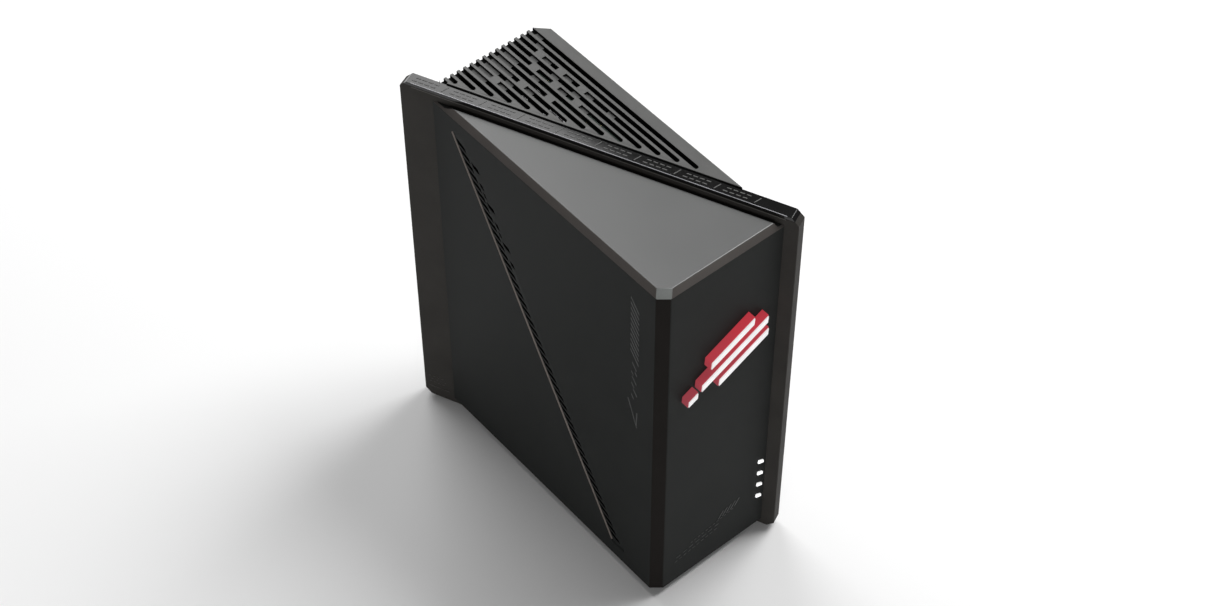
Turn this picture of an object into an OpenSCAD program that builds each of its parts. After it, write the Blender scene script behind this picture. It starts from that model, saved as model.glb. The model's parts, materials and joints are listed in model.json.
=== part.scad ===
// Upright wireless router. Two wedge-shaped casings stand either side of a diagonal blade.
// Plan coordinates start at the front-left corner; centred() moves them to the middle of the base.

/* [Front casing] */
// Width of the front face, from its left corner to the blade
casing_w = 64; // [60:0.5:68]
// Depth of the left face, from its front corner to the blade
casing_d = 146; // [142:0.5:150]
// Height of the front casing
casing_h = 200; // [198:0.5:206]
// Height of the front casing's lower edge above the table
casing_lift = 4.7; // [4.5:0.1:6]
// Length of the vertical corner facet along the front face
corner_x = 4.8; // [3:0.1:6]
// Length of the vertical corner facet along the left face
corner_y = 4; // [3:0.1:6]
// Width of the sloping band round the top
top_bevel = 2.5; // [1.5:0.1:3]
// Thickness of the casing walls
wall = 2; // [1.6:0.1:2.2]

/* [Blade] */
// Thickness of the diagonal blade
blade_t = 6; // [5:0.1:6]
// How far the blade stands out behind
blade_rear = 15.5; // [10:0.5:18]
// How far the blade stands out in front
blade_front = 6.2; // [4:0.1:7]
// How far the blade stands above the front casing
blade_rise = 3.5; // [3:0.1:6]
// Size of the cut at each corner of the blade
blade_cut = 3.4; // [2:0.1:4]
// Height of the gloss cap along the blade's top
cap_h = 1.6; // [1.4:0.1:2.4]

/* [Rear casing] */
// Width of the rear casing, from the front casing's left face
rear_w = 61; // [60:0.5:62]
// Depth of the rear casing, from the front casing's front face
rear_d = 148; // [147.5:0.5:150]
// Size of the vertical corner cut at the back right
rear_cut = 5.5; // [4:0.1:6.5]
// Height of the rubber pads under the rear casing
pad_h = 1.2; // [1:0.1:1.6]

/* [Top grille] */
// Number of slots in the top grille
slot_count = 15; // [10:1:15]
// Distance between slots
slot_pitch = 3.4; // [3.2:0.1:3.4]
// Width of one slot
slot_w = 2; // [1.4:0.1:2.2]
// Length of one cell of the slot pattern
cell_l = 4.6; // [4:0.2:6]
// Thickness of the grille plate
grille_t = 2.4; // [2:0.1:3]

/* [Side vent] */
// Number of slots down the left face
vent_count = 43; // [20:1:46]
// Length of one side slot
vent_l = 6.5; // [4:0.5:7]
// Opening of one side slot, measured down the row
vent_h = 2.8; // [1.4:0.1:3]
// Downward slope of the side slots, in degrees
vent_slope = 14; // [5:1:20]

/* [Ports] */
// Distance between network sockets
jack_pitch = 16.4; // [16.3:0.1:16.4]
// Push of the two round buttons
button_travel = 0.8; // [0.4:0.1:0.9]
// Turn of the power rocker from off to on, in degrees
rocker_turn = 16; // [10:1:16]

/* [Hidden] */
$fn = 48;

// Overlap of a cutter past a face
eps = 0.5;
// Gap between pieces that are put together by hand
fit = 0.2;

// Plan of the blade: its length between the two faces, its direction and its normal
blade_l = norm([casing_w, casing_d]);
blade_dir = [casing_w / blade_l, -casing_d / blade_l];
blade_nrm = [casing_d / blade_l, casing_w / blade_l];
blade_turn = atan2(-casing_d, casing_w);
function along(s, t) = [s * blade_dir[0] + t * blade_nrm[0], casing_d + s * blade_dir[1] + t * blade_nrm[1]];
function blade_back_y(x) = along(0, blade_t)[1] + (x - along(0, blade_t)[0]) * blade_dir[1] / blade_dir[0];
function blade_back_x(y) = along(0, blade_t)[0] + (y - along(0, blade_t)[1]) * blade_dir[0] / blade_dir[1];

mid_x = (along(-blade_rear, 0)[0] + along(blade_l + blade_front, blade_t)[0]) / 2;
mid_y = (along(blade_l + blade_front, 0)[1] + along(-blade_rear, blade_t)[1]) / 2;

// Heights above the table
casing_top = casing_lift + casing_h;
blade_top = casing_top + blade_rise;
rear_top = blade_top + 0.8;
grille_z = rear_top - grille_t;
slot_margin = 1.2;
pocket_depth = 1.1;
slot_start = rear_d - 3;
top_plate_t = 2.2;
base_z = casing_lift + 0.5;

// Side vent row, as [y, height above the casing's lower edge]
vent_start = [casing_d - 12, casing_h - 11];
vent_end = [30.4, 9];
vent_foot = [21.6, 8];
vent_run = norm(vent_end - vent_start);
vent_way = (vent_end - vent_start) / vent_run;
vent_lip = 0.6;
rear_vent_shift = 3;
vent_dish = 8;

// Outline that cuts the sloping band along the top, as [distance in from the face, height]
band_outline = [
    [-1, casing_top - top_bevel - 1],
    [top_bevel + 6, casing_top + 6],
    [-1, casing_top + 6]
];

// Front emblem: slanted bars, each [offset along the lean, offset across it, length, width]
emblem_lean = 26;
emblem_at = [38, 143];
emblem_bars = [[1, 7.4, 26, 3.8], [-1, 0, 40, 3.8], [1, -7.4, 30, 3.8], [-26.5, -1.4, 6, 3.2]];
emblem_proud = 3.6;
cap_proud = 4.2;

// Status lights on the front face, as [x, lowest z, spacing]
light_x = 59;
light_z = 25.2;
light_step = 8.4;
light_count = 4;

// Board and port layout
board_x = 48;
board_t = 1.6;
board_y0 = 54;
board_y1 = 142;
board_z0 = 14;
board_z1 = 195;
panel_y = rear_d - wall;
panel_t = 1.8;
port_x = 41.2;
jack_w = 16;
jack_h = 13.5;
jack_l = 21.3;
jack_x = board_x - jack_h;
wan_z = 128;
usb_z = 147.5;
inlet_z = 41;
rocker_z = 24;
wps_z = 175;
led_z = 163;
reset_z = 186;
window_x0 = 29;
window_x1 = 53;
window_z0 = 13;
window_z1 = 193;
boss_yz = [[58, 20], [58, 104], [58, 189], [138, 32.4], [138, 158], [138, 191]];
sink_screw_yz = [[88, 66], [118, 66], [88, 184], [118, 184]];
sink_y = 84;
sink_z = 62;
fin_pitch = 4.575;
pivot_y = panel_y - 2.4;
rocker_tilt = rocker_turn / 2;
// Rear face of the tact switches' domes
dome_y = panel_y - 9.6;

// Frame screws, as distance along the blade and height
frame_screw_s = [24, 127];
frame_screw_z = [22, 190];
// Tall openings through the blade between the casings, as distance along it and height
hatch_s = [30:21:93];
hatch_w = 17;
hatch_z0 = 32;
hatch_z1 = 187;
// Base screws, in plan
front_screw_xy = [[8, 112], [8, 40], [46, 8]];
rear_screw_xy = [[12.4, 141.2], [55, 132], [55, 44]];

// Lead routes, each from its antenna or light board, through a blade opening, to its socket on the main board
upper_route = [
    [3.5, 80, 172], [6, 74, 170], [14, 62, 166], [30, 48, 160], [42, 51, 158],
    [44.6, 61.9, 157], [46.5, 61.9, 157]
];
lower_route = [
    [3.5, 100, 42], [6, 92, 44], [14, 74, 56], [30, 54, 70], [42, 52, 78], [44.6, 61.9, 79], [46.5, 61.9, 79]
];
front_route = [
    [24, 3.5, 184], [25, 8, 183], [31, 20, 181], [38, 36, 179], [43, 48, 178],
    [44.6, 61.9, 177], [46.4, 61.9, 177]
];
rear_route = [
    [16, 144.6, 150], [17, 141, 152], [22, 130, 160], [28, 116, 176], [33, 102, 193], [38, 86, 193],
    [41.5, 74, 186], [43, 66, 160], [44.6, 61.9, 136], [46.4, 61.9, 134]
];
light_route = [
    [44, 12.2, 132], [44, 16, 130], [43, 28, 120], [42, 42, 101], [43.4, 50, 99], [45, 55, 98],
    [45, 61.9, 98], [46.3, 61.9, 98]
];
socket_z = [157, 79, 177, 134, 98];

module centred() {
    translate([-mid_x, -mid_y, 0]) children();
}

// Local x runs along the blade, local y through its thickness
module in_blade() {
    centred() translate([0, casing_d, 0]) rotate([0, 0, blade_turn]) children();
}

// Extrudes an [x, z] outline from y0 towards +y
module slab_y(y0, t) {
    translate([0, y0 + t, 0]) rotate([90, 0, 0]) linear_extrude(t) children();
}

// Extrudes a [y, z] outline from x0 towards +x
module slab_x(x0, t) {
    translate([x0, 0, 0]) rotate([90, 0, 90]) linear_extrude(t) children();
}

module pin_y(x, y, z, r, l) {
    translate([x, y, z]) rotate([-90, 0, 0]) cylinder(r = r, h = l);
}

module pin_x(x, y, z, r, l) {
    translate([x, y, z]) rotate([0, 90, 0]) cylinder(r = r, h = l);
}

// Plan outline of the front casing moved in by inset, with its long side moved out by reach
function front_outline(inset, reach) =
    let (n = norm([corner_x, corner_y]), c = corner_x * corner_y + inset * n)
    [
        [(c - corner_x * inset) / corner_y, inset],
        [casing_w * (1 - inset / casing_d) + reach / blade_nrm[0], inset],
        [inset, casing_d * (1 - inset / casing_w) + reach / blade_nrm[1]],
        [inset, (c - corner_y * inset) / corner_x]
    ];

// Plan outline of the rear casing moved in by inset, with its blade side moved by reach
function rear_outline(inset, reach) =
    let (x1 = rear_w - inset, y1 = rear_d - inset, cut = rear_cut - inset * (2 - sqrt(2)))
    [
        [x1, blade_back_y(x1) - reach / blade_nrm[1]],
        [x1, y1 - cut],
        [x1 - cut, y1],
        [blade_back_x(y1) - reach / blade_nrm[0], y1]
    ];

// Cuts the small sloping facet at the top of the vertical corner facet
module corner_cutter() {
    run = top_bevel * sqrt(2);
    outline = [[eps, -eps * top_bevel / run], [eps, 6], [-2 * run, 6], [-2 * run, 2 * top_bevel]];
    translate([corner_x, 0, casing_top - top_bevel])
        rotate([0, 0, 180 - atan2(corner_y, corner_x)])
            rotate([90, 0, 90])
                translate([0, 0, -10]) linear_extrude(30) polygon(outline);
}

// ---------------------------------------------------------------- blade

function blade_outline() = [
    [-blade_rear + blade_cut, pad_h],
    [blade_l + blade_front - blade_cut, pad_h],
    [blade_l + blade_front, pad_h + blade_cut],
    [blade_l + blade_front, blade_top - blade_cut],
    [blade_l + blade_front - blade_cut, blade_top],
    [-blade_rear + blade_cut, blade_top],
    [-blade_rear, blade_top - blade_cut],
    [-blade_rear, pad_h + blade_cut]
];

module blade_frame() {
    color([0.21, 0.20, 0.19]) in_blade() difference() {
        slab_y(0, blade_t) polygon(blade_outline());
        translate([-30, -eps, blade_top - cap_h]) cube([blade_l + 60, blade_t + 2 * eps, 20]);
        // Air and lead openings between the two casings
        for (s = hatch_s)
            translate([s, -eps, hatch_z0]) cube([hatch_w, blade_t + 2 * eps, hatch_z1 - hatch_z0]);
        for (s = frame_screw_s, z = frame_screw_z) pin_y(s, -eps, z, 1.5, blade_t + 2 * eps);
    }
}

module blade_cap() {
    color([0.05, 0.05, 0.055]) in_blade() intersection() {
        slab_y(0, blade_t) polygon(blade_outline());
        translate([-30, -eps, blade_top - cap_h]) cube([blade_l + 60, blade_t + 2 * eps, 20]);
    }
}

module frame_screws() {
    color([0.7, 0.7, 0.72]) in_blade() for (s = frame_screw_s, z = frame_screw_z) {
        pin_y(s, blade_t, z, 2.6, 1.6);
        pin_y(s, -5, z, 1.25, blade_t + 5);
    }
}

// ---------------------------------------------------------------- front casing

// A slanted bar of the emblem, as an [x, z] outline
module emblem_bar(b, grow) {
    l = b[2] / 2 + grow;
    w = b[3] / 2 + grow;
    skew = 0.6 * w;
    translate([emblem_at[0], emblem_at[1] + casing_lift]) rotate(emblem_lean) translate([b[0], b[1]])
        polygon([[-l - skew, -w], [l - skew, -w], [l + skew, w], [-l + skew, w]]);
}

// One status light's outline, a small wedge
module light_shape(i, grow) {
    translate([light_x, light_z + i * light_step])
        polygon([
            [-grow, -grow], [3.3 + grow, -1.2 - grow], [3.3 + grow, 0.6 + grow], [0.4 - grow, 2 + grow]
        ]);
}

// Start of slot k on the row line
function vent_place(k) = vent_start + (2 + k * (vent_run - 4) / vent_count) * vent_way;

// One side slot from the row line, as a [y, z] outline
module vent_slot(start, l) {
    d = [-cos(vent_slope), -sin(vent_slope)];
    polygon([start, start + l * d, start + l * d + vent_h * vent_way, start + vent_h * vent_way]);
}

module side_vent_cuts() {
    d = [-cos(vent_slope), -sin(vent_slope)];
    slab_x(-eps, wall + 2 * eps) translate([0, casing_lift]) {
        for (k = [0:vent_count - 1]) vent_slot(vent_place(k) + 1.4 * d, vent_l);
        for (k = [1:11])
            if (k % 4 != 2) vent_slot(vent_place(k) + (vent_l + 3.2) * d, 1.6 + (k * 3) % 4);
    }
}

// The same row through the rear casing's outer wall, beside the heat spreader
module rear_vent_cuts() {
    d = [-cos(vent_slope), -sin(vent_slope)];
    slab_x(rear_w - wall - eps, wall + 2 * eps) translate([rear_vent_shift, casing_lift])
        for (k = [3:vent_count - 1]) vent_slot(vent_place(k) + 1.4 * d, vent_l);
}

// Dished channel that the row of slots lies in: a bright lip on one side, a long ramp on the other
module vent_channel(from, to) {
    run = to - from;
    outline = [[-eps, 0], [0, 0], [vent_lip, -vent_lip], [0, -vent_dish], [-eps, -vent_dish]];
    translate([0, from[0], casing_lift + from[1]])
        rotate([atan2(run[1], run[0]) + 90, 0, 0])
            translate([0, 0, -norm(run)]) linear_extrude(norm(run)) polygon(outline);
}

module front_casing() {
    color([0.17, 0.175, 0.17]) {
        centred() difference() {
            translate([0, 0, casing_lift]) linear_extrude(casing_h) polygon(front_outline(0, 0));
            translate([0, 0, casing_lift - eps])
                linear_extrude(casing_h - top_plate_t + eps) polygon(front_outline(wall, 1));
            // Sloping band along the left, front and corner edges of the top
            slab_y(-20, casing_d + 40) polygon(band_outline);
            slab_x(-20, casing_w + 40) polygon(band_outline);
            corner_cutter();
            side_vent_cuts();
            vent_channel(vent_start, vent_end);
            vent_channel(vent_end + 1.2 * vent_way, vent_foot);
            slab_y(-eps, wall + 2 * eps) for (b = emblem_bars) emblem_bar(b, 0);
            slab_y(-eps, wall + 2 * eps) for (i = [0:light_count - 1]) light_shape(i, 0);
            // Shadow groove between the top plate and the blade
            translate([0, casing_d, casing_top - 1.6]) rotate([0, 0, blade_turn])
                translate([-20, -2.2, 0]) cube([blade_l + 40, 3, 3]);
        }
        front_bosses();
    }
}

// Screw bosses inside the front casing, tied to its walls by ribs
module front_bosses() {
    in_blade() for (z = frame_screw_z) {
        difference() {
            translate([frame_screw_s[0], -7, z]) rotate([-90, 0, 0]) cylinder(r = 3, h = 7);
            pin_y(frame_screw_s[0], -6, z, 1.3, 7);
        }
        difference() {
            translate([frame_screw_s[1], -9, z]) rotate([-90, 0, 0]) cylinder(r = 3, h = 9);
            pin_y(frame_screw_s[1], -6, z, 1.3, 7);
        }
    }
    centred() {
        left = along(frame_screw_s[0], -6);
        right = along(frame_screw_s[1], -8);
        for (z = frame_screw_z) {
            translate([wall - 0.2, left[1] - 1, z - 2.4]) cube([left[0] - wall - 0.6, 2, 4.8]);
            translate([right[0] - 1, wall - 0.2, z - 2.4]) cube([2, right[1] - wall - 2, 4.8]);
        }
        for (p = front_screw_xy) difference() {
            union() {
                translate([p[0], p[1], base_z + 2]) cylinder(r = 3, h = 10);
                if (p[1] > p[0]) translate([wall - 0.2, p[1] - 1, base_z + 4]) cube([p[0] - wall, 2, 8]);
                if (p[1] < p[0]) translate([p[0] - 1, wall - 0.2, base_z + 4]) cube([2, p[1] - wall, 8]);
            }
            translate([p[0], p[1], base_z + 1]) cylinder(r = 1.3, h = 9);
        }
    }
}

module emblem_lens() {
    color([0.75, 0.10, 0.13]) centred() {
        slab_y(-emblem_proud, emblem_proud + wall + 0.2) for (b = emblem_bars) emblem_bar(b, -0.1);
        slab_y(wall + 0.2, 1.2) translate([9, 126 + casing_lift]) square([46, 38]);
    }
}

module emblem_caps() {
    color([0.93, 0.93, 0.92]) centred()
        slab_y(-cap_proud, cap_proud - emblem_proud) for (b = emblem_bars) emblem_bar(b, -0.35);
}

module emblem_reflector() {
    color([0.9, 0.9, 0.9]) centred() difference() {
        slab_y(wall + 1.4, 7) translate([9, 126 + casing_lift]) square([46, 38]);
        slab_y(wall + 0.4, 9) translate([10.2, 127.2 + casing_lift]) square([43.6, 35.6]);
    }
}

module emblem_board() {
    color([0.12, 0.2, 0.14]) centred()
        slab_y(wall + 8.4, 1.2) translate([9, 122 + casing_lift]) square([44, 42]);
}

module emblem_leds() {
    color([0.9, 0.85, 0.6]) centred()
        for (x = [15, 27, 39], z = [134, 146, 158])
            slab_y(wall + 7.5, 0.9) translate([x, z + casing_lift - 1.7]) square([3.5, 2.8]);
}

// One clear moulding: four tips through the front wall, on a bar behind it
module status_light_pipe() {
    color([0.92, 0.94, 0.95]) centred() {
        slab_y(-0.6, 0.6 + wall + 0.2) for (i = [0:light_count - 1]) light_shape(i, -0.08);
        slab_y(wall + 0.2, 1.6)
            translate([light_x - 2, light_z - 2]) square([4.2, 3 * light_step + 6]);
    }
}

module status_board() {
    color([0.12, 0.2, 0.14]) centred() {
        slab_y(wall + 3.2, 1.2) translate([light_x - 9, light_z - 3]) square([8.6, 3 * light_step + 8]);
        for (i = [0:light_count - 1])
            slab_y(wall + 2, 1.2) translate([light_x - 1.8, light_z + i * light_step]) square([1.4, 1.6]);
    }
}

// ---------------------------------------------------------------- rear casing

module rear_casing() {
    color([0.2, 0.2, 0.195]) {
        centred() difference() {
            translate([0, 0, pad_h]) linear_extrude(grille_z - pad_h) polygon(rear_outline(0, 0));
            translate([0, 0, pad_h - eps])
                linear_extrude(grille_z - pad_h + 2 * eps) polygon(rear_outline(wall, 1));
            translate([window_x0, rear_d - wall - eps, window_z0])
                cube([window_x1 - window_x0, wall + 2 * eps, window_z1 - window_z0]);
            rear_vent_cuts();
        }
        rear_bosses();
    }
}

module rear_bosses() {
    centred() {
        for (p = boss_yz) difference() {
            pin_x(board_x + board_t, p[0], p[1], 3, rear_w - board_x - board_t - 1);
            pin_x(board_x + board_t - eps, p[0], p[1], 1.1, 7);
        }
        for (p = rear_screw_xy) difference() {
            union() {
                translate([p[0], p[1], pad_h + 2.5]) cylinder(r = 3, h = 8);
                if (p[0] > 30) translate([p[0], p[1] - 1, pad_h + 3]) cube([rear_w - 1 - p[0], 2, 7]);
                if (p[0] < 30) translate([p[0] - 1, p[1], pad_h + 3]) cube([2, rear_d - 1 - p[1], 7]);
            }
            translate([p[0], p[1], pad_h + 2]) cylinder(r = 1.3, h = 8);
        }
    }
}

// Slot pattern, cell j of slot i counted from the rear edge: 0 open, 1 filled flush, 2 shallow pocket
function slot_x(i) = 6.8 + i * slot_pitch;
function slot_front(i) = blade_back_y(slot_x(i)) + (slot_margin + slot_w / 2) / blade_nrm[1] - slot_w / 2;
function slot_cells(i) = max(1, floor((slot_start - slot_front(i)) / cell_l));
function wave(i, j) = (j * 2 + i * 3 + floor(i / 3) * 5 + floor(j / 4) * 3) % 9;
function cell_state(i, j) =
    j >= slot_cells(i) - 3 ? 0
    : (j < 2 && i < 10) ? 2
    : i > 12 && j > 3 ? 0
    : wave(i, j) < 6 ? 0
    : wave(i, j) < 7 ? 1 : 2;

module grille_slot(i, j) {
    y1 = slot_start - j * cell_l;
    last = j == slot_cells(i) - 1;
    y0 = last ? slot_front(i) + slot_w / 2 : y1 - cell_l;
    state = cell_state(i, j);
    z0 = state == 0 ? grille_z - eps : rear_top - pocket_depth;
    if (state != 1)
        translate([slot_x(i), y0, z0]) linear_extrude(rear_top + eps - z0) {
            translate([-slot_w / 2, 0]) square([slot_w, y1 - y0]);
            if (last) circle(r = slot_w / 2);
        }
}

module top_grille() {
    color([0.42, 0.42, 0.41]) centred() difference() {
        union() {
            translate([0, 0, grille_z]) linear_extrude(grille_t) polygon(rear_outline(0, 0));
            // Skirt that drops inside the rear casing's walls
            translate([0, 0, grille_z - 4]) linear_extrude(4.5) difference() {
                polygon(rear_outline(wall + fit, -0.4));
                polygon(rear_outline(wall + fit + 1.4, 2));
            }
        }
        for (i = [0:slot_count - 1]) {
            if (slot_front(i) < slot_start - 1) for (j = [0:slot_cells(i) - 1]) grille_slot(i, j);
            // Notch where the slot runs out over the rear edge
            translate([slot_x(i) - slot_w / 2, slot_start - 0.01, rear_top - 1.6]) cube([slot_w, 4, 3]);
        }
    }
}

module port_panel() {
    color([0.14, 0.14, 0.14]) centred() difference() {
        translate([window_x0 - 2, panel_y - panel_t, window_z0 - 1])
            cube([window_x1 - window_x0 + 3.4, panel_t, window_z1 - window_z0 + 2]);
        for (i = [0:4])
            port_hole(jack_x - 0.15, wan_z - jack_gap(i) - jack_w / 2 - 0.15, jack_h + 0.3, jack_w + 0.3);
        port_hole(40, usb_z - 7.5, 7.7, 15);
        port_hole(36.9, inlet_z - 5.1, 11.2, 10.2);
        port_hole(36.5, rocker_z - 7.4, 9.4, 14.8);
        pin_y(port_x, panel_y - panel_t - eps, wps_z, 3.1, panel_t + 2 * eps);
        pin_y(port_x, panel_y - panel_t - eps, led_z, 3.1, panel_t + 2 * eps);
        pin_y(port_x, panel_y - panel_t - eps, reset_z, 1.1, panel_t + 2 * eps);
    }
}

module port_hole(x, z, w, h) {
    translate([x, panel_y - panel_t - eps, z]) cube([w, panel_t + 2 * eps, h]);
}

function jack_gap(i) = i == 0 ? 0 : i * jack_pitch + 3;

// ---------------------------------------------------------------- base

module front_base_cover() {
    color([0.1, 0.1, 0.1]) centred() difference() {
        translate([0, 0, base_z]) linear_extrude(2) polygon(front_outline(wall + fit, -fit));
        for (p = front_screw_xy) translate([p[0], p[1], base_z - eps]) cylinder(r = 1.6, h = 3);
        for (p = front_screw_xy) translate([p[0], p[1], base_z - eps]) cylinder(r = 2.8, h = 1.4);
    }
}

module rear_base_cover() {
    color([0.1, 0.1, 0.1]) centred() difference() {
        translate([0, 0, pad_h]) linear_extrude(2.5) polygon(rear_outline(wall + fit, -fit));
        for (p = rear_screw_xy) translate([p[0], p[1], pad_h - eps]) cylinder(r = 1.6, h = 4);
        for (p = rear_screw_xy) translate([p[0], p[1], pad_h - eps]) cylinder(r = 2.8, h = 1.9);
        // Cooling slots
        for (k = [0:7]) translate([44 - k * 2.4, 70 + k * 6, pad_h - eps]) cube([10, 2, 4]);
    }
}

module rear_pads() {
    color([0.08, 0.08, 0.08]) centred() {
        translate([20, 128, 0]) linear_extrude(pad_h) stadium(28, 9);
        translate([52, 60, 0]) rotate([0, 0, 90]) linear_extrude(pad_h) stadium(22, 8);
    }
}

module stadium(l, w) {
    translate([w / 2, 0]) circle(d = w);
    translate([l - w / 2, 0]) circle(d = w);
    translate([w / 2, -w / 2]) square([l - w, w]);
}

module front_foot() {
    color([0.08, 0.08, 0.08]) centred() translate([15, 20, 0]) {
        cylinder(r = 6.5, h = base_z);
    }
}

module base_screws() {
    color([0.7, 0.7, 0.72]) centred() {
        for (p = front_screw_xy) base_screw(p[0], p[1], base_z + 0.9);
        for (p = rear_screw_xy) base_screw(p[0], p[1], pad_h + 1.4);
    }
}

module base_screw(x, y, z) {
    translate([x, y, z - 0.9]) cylinder(r = 2.5, h = 0.9);
    translate([x, y, z - 0.2]) cylinder(r = 1.25, h = 8);
}

// ---------------------------------------------------------------- main board and its cooling

module main_board() {
    color([0.1, 0.22, 0.15]) centred() difference() {
        translate([board_x, board_y0, board_z0]) cube([board_t, board_y1 - board_y0, board_z1 - board_z0]);
        for (p = boss_yz) pin_x(board_x - eps, p[0], p[1], 1.6, board_t + 2 * eps);
        for (p = sink_screw_yz) pin_x(board_x - eps, p[0], p[1], 1.4, board_t + 2 * eps);
    }
}

module board_screws() {
    color([0.72, 0.72, 0.74]) centred() for (p = boss_yz) {
        pin_x(board_x - 1.4, p[0], p[1], 2.4, 1.4);
        pin_x(board_x - 0.2, p[0], p[1], 1.05, 7);
    }
}

module chip(y, z, w, h, t) {
    translate([board_x - t, y, z]) cube([t, w, h]);
}

module processor() {
    color([0.15, 0.15, 0.16]) centred() chip(94, 118, 19, 19, 1.6);
}

module memory_chips() {
    color([0.13, 0.13, 0.14]) centred() {
        chip(90, 142, 11, 9, 1.1);
        chip(106, 142, 11, 9, 1.1);
    }
}

module network_chip() {
    color([0.13, 0.13, 0.14]) centred() chip(97, 86, 14, 14, 1.1);
}

module radio_cans() {
    color([0.75, 0.75, 0.77]) centred() {
        chip(64, 40, 17, 32, 2.6);
        chip(64, 92, 17, 36, 2.6);
        chip(64, 144, 17, 32, 2.6);
    }
}

module thermal_pads() {
    color([0.6, 0.65, 0.75]) centred() {
        translate([board_x - 2.4, 92, 116]) cube([0.8, 23, 23]);
        translate([board_x + board_t, 92, 116]) cube([1, 23, 23]);
    }
}

module finned_heatsink() {
    base = board_x - 2.4;
    color([0.7, 0.7, 0.71]) centred() difference() {
        union() {
            translate([base - 2.5, sink_y, sink_z]) cube([2.5, 38, 126]);
            for (k = [0:8]) translate([34.8, sink_y + k * fin_pitch, sink_z]) cube([base - 36.9, 1.4, 126]);
        }
        for (p = sink_screw_yz) pin_x(base - 3, p[0], p[1], 1.5, 4);
        for (p = sink_screw_yz) translate([30, p[0] - 3.2, p[1] - 3.2]) cube([base - 32.5, 6.4, 6.4]);
    }
}

module heat_spreader() {
    base = board_x + board_t + 1;
    color([0.66, 0.66, 0.67]) centred() {
        difference() {
            translate([base, 66, 44]) cube([2, 66, 140]);
            for (p = sink_screw_yz) pin_x(base - eps, p[0], p[1], 1.1, 3);
        }
        for (k = [0:10]) if (k != 4 && k != 9) translate([base + 1.8, 66 + k * 5.6, 44]) cube([5, 1.2, 140]);
    }
}

module heatsink_screws() {
    base = board_x - 2.4;
    color([0.72, 0.72, 0.74]) centred() for (p = sink_screw_yz) {
        pin_x(base - 4.1, p[0], p[1], 2.4, 1.6);
        pin_x(base - 2.6, p[0], p[1], 1.05, 8);
    }
}

module network_transformers() {
    color([0.1, 0.1, 0.1]) centred()
        for (z = [61, 85, 109]) translate([board_x - 3.8, 122.2, z]) cube([3.8, 2.2, 16]);
}

module power_coils() {
    color([0.25, 0.25, 0.27]) centred()
        for (k = [0:2]) translate([board_x - 4.5, 92 + k * 11, 22]) cube([4.5, 8, 8]);
}

module capacitors() {
    color([0.55, 0.58, 0.62]) centred()
        for (k = [0:2]) pin_x(board_x - 9, 96 + k * 11, 42, 4, 9);
}

// ---------------------------------------------------------------- sockets

module jack(z) {
    color([0.72, 0.73, 0.75]) centred() difference() {
        translate([jack_x, panel_y - jack_l, z - jack_w / 2]) cube([jack_h, jack_l, jack_w]);
        translate([jack_x + 2.6, panel_y - 14.5, z - 5.95]) cube([8.2, 15, 11.9]);
        translate([jack_x + 1.3, panel_y - 14.5, z - 3.1]) cube([1.5, 15, 6.2]);
    }
}

module wan_jack() {
    jack(wan_z);
}

module lan_jack_1() {
    jack(wan_z - jack_gap(1));
}

module lan_jack_2() {
    jack(wan_z - jack_gap(2));
}

module lan_jack_3() {
    jack(wan_z - jack_gap(3));
}

module lan_jack_4() {
    jack(wan_z - jack_gap(4));
}

// Eight sprung contacts in each network socket, sloping away from the board side
module jack_contacts() {
    color([0.83, 0.68, 0.35]) centred()
        for (i = [0:4], k = [0:7])
            translate([jack_x + 10.8, panel_y - 14.5, wan_z - jack_gap(i) - 3.57 + k * 1.02 - 0.22])
                linear_extrude(0.44) polygon([[0, 0], [-1.9, 0], [-0.5, 9], [0, 9]]);
}

module usb_jack() {
    color([0.75, 0.76, 0.78]) centred() difference() {
        translate([40.3, panel_y - 17, usb_z - 7.25]) cube([7.1, 17.4, 14.5]);
        translate([40.8, panel_y - 14, usb_z - 6.7]) cube([6.1, 15, 13.4]);
    }
}

module usb_tongue() {
    color([0.1, 0.35, 0.7]) centred()
        translate([44.2, panel_y - 14, usb_z - 5.8]) cube([1.9, 12.6, 11.6]);
}

module power_inlet() {
    color([0.08, 0.08, 0.08]) centred() difference() {
        translate([37, panel_y - 14, inlet_z - 5]) cube([11, 14.4, 10]);
        pin_y(42.5, panel_y - 9.5, inlet_z, 3.1, 11);
    }
}

module power_inlet_pin() {
    color([0.8, 0.8, 0.8]) centred() pin_y(42.5, panel_y - 9.5, inlet_z, 1, 8);
}

// ---------------------------------------------------------------- buttons and switch

module power_switch_body() {
    color([0.07, 0.07, 0.07]) centred() difference() {
        translate([36.6, panel_y - 11, rocker_z - 7.3]) cube([9.2, 11.6, 14.6]);
        translate([37.6, pivot_y - 2.9, rocker_z - 6]) cube([7.2, 9, 12]);
        pin_x(36.9, pivot_y, rocker_z, 1.05, 8.6);
    }
}

module power_rocker() {
    color([0.12, 0.12, 0.12]) centred()
        translate([port_x, pivot_y, rocker_z]) rotate([rocker_tilt, 0, 0]) {
            slab_x(-3.2, 6.4)
                polygon([[-1.6, -4.4], [-1.6, 4.4], [2.4, 5.3], [1.6, 0], [2.4, -5.3]]);
            rotate([0, 90, 0]) translate([0, 0, -4]) cylinder(r = 1, h = 8);
        }
}

module round_button(z) {
    color([0.16, 0.16, 0.16]) centred() {
        pin_y(port_x, panel_y - 3, z, 2.8, 4);
        pin_y(port_x, panel_y - 3.4, z, 4.2, 1);
        pin_y(port_x, dome_y + button_travel + 0.4, z, 1.2, panel_y - 3.2 - dome_y - button_travel - 0.4);
    }
}

module wps_button() {
    round_button(wps_z);
}

module led_button() {
    round_button(led_z);
}

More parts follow.
